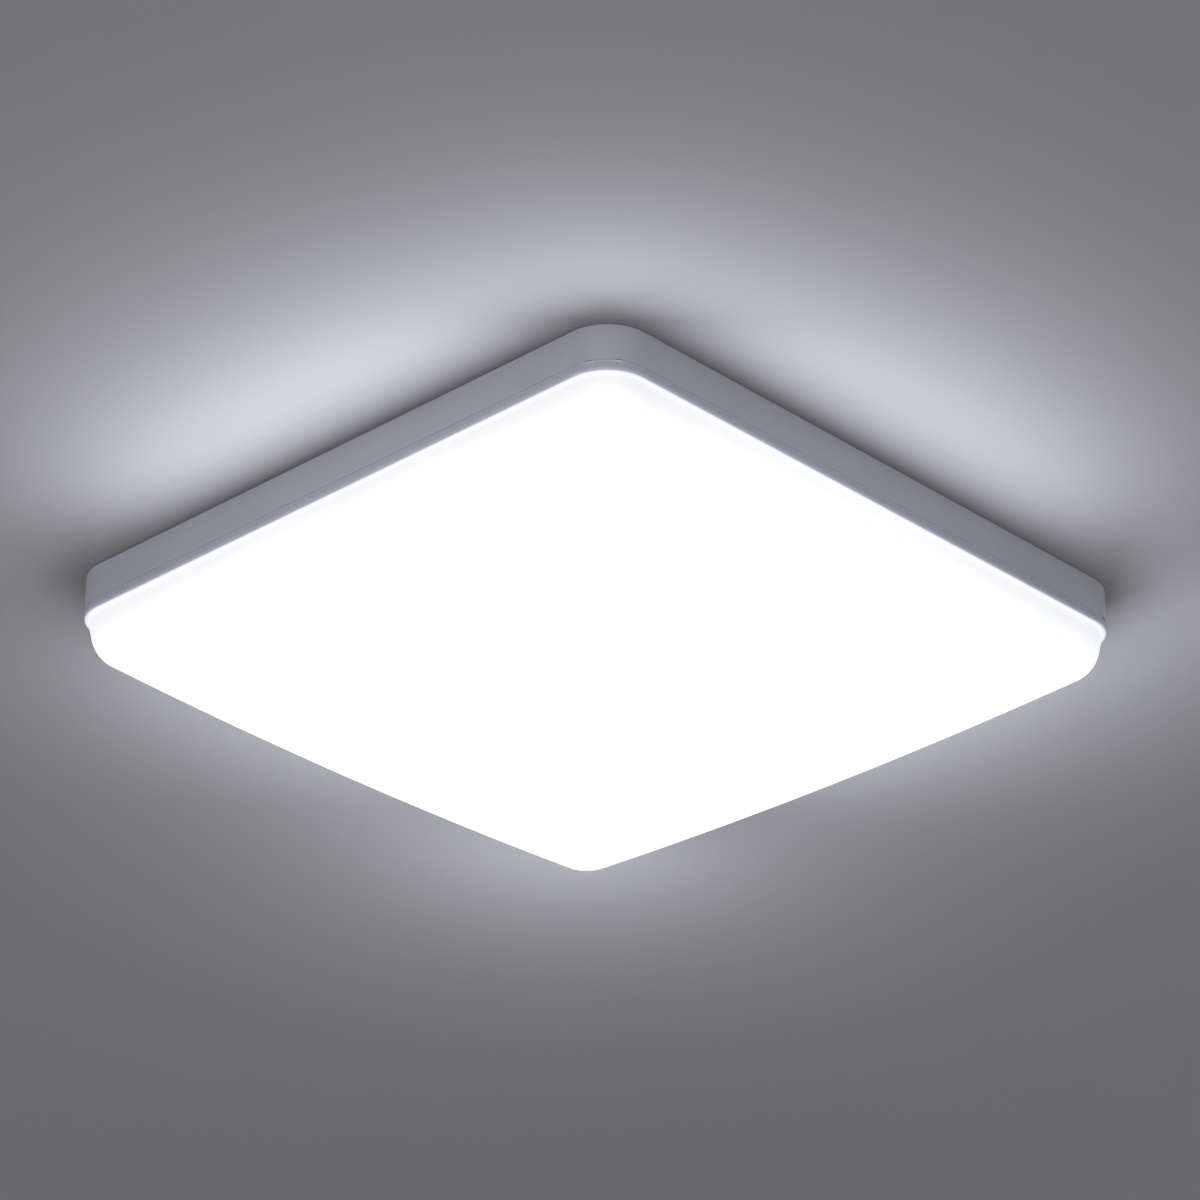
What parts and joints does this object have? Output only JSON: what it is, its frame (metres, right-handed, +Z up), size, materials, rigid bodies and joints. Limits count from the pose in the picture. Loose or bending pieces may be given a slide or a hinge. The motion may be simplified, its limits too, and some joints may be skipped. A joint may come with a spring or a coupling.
{
  "type": "square flush led ceiling light",
  "caption": "Square flush-mounted LED ceiling light with a grey housing, a domed opal pull-off diffuser, lensed light boards, a driver and a ceiling bracket.",
  "frame": {"origin": "centre of the light on the ceiling plane, midway between the bracket's two slots", "axes": "+Z up into the ceiling; X along the bracket, through its two slots; Y across it"},
  "size_m": [0.3, 0.3, 0.0448],
  "materials": {
    "housing_plastic": "satin moulded ABS, cool grey",
    "diffuser_opal": "opal polystyrene, satin, lit from inside",
    "galvanised_steel": "hot-dip galvanised strip",
    "zinc_screw": "bright zinc plate",
    "grommet_rubber": "moulded rubber",
    "tray_enamel": "white powder coat",
    "board_mask": "white solder mask on aluminium",
    "led_package": "white package with yellow phosphor",
    "lens_clear": "clear moulded acrylic",
    "rivet_nylon": "natural nylon",
    "connector_plastic": "white nylon",
    "bushing_nylon": "black nylon",
    "driver_plastic": "white polycarbonate",
    "circuit_board": "green laminate",
    "transformer_ferrite": "dark ferrite",
    "capacitor_sleeve": "sleeved can",
    "chip_resin": "moulded epoxy",
    "wire_brown": "PVC insulation",
    "wire_blue": "PVC insulation",
    "wire_green_yellow": "striped PVC insulation",
    "wire_red": "PVC insulation",
    "wire_black": "PVC insulation",
    "tinned_copper": "tinned",
    "terminal_plastic": "light grey nylon",
    "terminal_brass": "bare",
    "spring_steel": "stainless strip",
    "button_plastic": "orange polycarbonate"
  },
  "bodies": {
    "base": {"base_housing": "housing_plastic", "ceiling_bracket": "galvanised_steel", "bracket_screws": "zinc_screw", "cable_grommet": "grommet_rubber", "reflector_tray": "tray_enamel", "tray_screws": "zinc_screw", "board_rivets": "rivet_nylon", "board_connectors": "connector_plastic", "jumper_wires_positive": "wire_red", "jumper_wires_negative": "wire_black", "driver_case": "driver_plastic", "driver_lid": "driver_plastic", "driver_board": "circuit_board", "driver_transformer": "transformer_ferrite", "driver_capacitors": "capacitor_sleeve", "driver_choke": "transformer_ferrite", "driver_chips": "chip_resin", "driver_screws": "zinc_screw", "live_lead": "wire_brown", "neutral_lead": "wire_blue", "earth_lead": "wire_green_yellow", "output_lead_positive": "wire_red", "output_lead_negative": "wire_black", "tray_bushing": "bushing_nylon", "earth_lug": "tinned_copper", "earth_screw": "zinc_screw", "earth_nut": "zinc_screw", "terminal_block": "terminal_plastic", "terminal_contacts": "terminal_brass", "terminal_screws": "zinc_screw", "led_board_1": "board_mask", "led_chips_1": "led_package", "led_lenses_1": "lens_clear", "led_board_2": "board_mask", "led_chips_2": "led_package", "led_lenses_2": "lens_clear", "led_board_3": "board_mask", "led_chips_3": "led_package", "led_lenses_3": "lens_clear", "led_board_4": "board_mask", "led_chips_4": "led_package", "led_lenses_4": "lens_clear", "led_board_5": "board_mask", "led_chips_5": "led_package", "led_lenses_5": "lens_clear", "led_board_6": "board_mask", "led_chips_6": "led_package", "led_lenses_6": "lens_clear", "terminal_spring_earth": "spring_steel", "terminal_spring_neutral": "spring_steel", "terminal_spring_live": "spring_steel"},
    "button_earth": {"terminal_button_earth": "button_plastic"},
    "button_neutral": {"terminal_button_neutral": "button_plastic"},
    "button_live": {"terminal_button_live": "button_plastic"},
    "cover": {"diffuser": "diffuser_opal"}
  },
  "joints": [
    {"name": "cover_pull", "type": "slide", "parent": "base", "child": "cover", "axis": [0, 0, -1], "range_m": [0, 0.12]},
    {"name": "button_earth_press", "type": "slide", "parent": "base", "child": "button_earth", "axis": [0, 0, 1], "range_m": [0, 0.0015], "stiffness_N_per_m": 400, "springref_m": -0.002, "deforming": ["terminal_spring_earth"]},
    {"name": "button_neutral_press", "type": "slide", "parent": "base", "child": "button_neutral", "axis": [0, 0, 1], "range_m": [0, 0.0015], "stiffness_N_per_m": 400, "springref_m": -0.002, "deforming": ["terminal_spring_neutral"]},
    {"name": "button_live_press", "type": "slide", "parent": "base", "child": "button_live", "axis": [0, 0, 1], "range_m": [0, 0.0015], "stiffness_N_per_m": 400, "springref_m": -0.002, "deforming": ["terminal_spring_live"]}
  ]
}
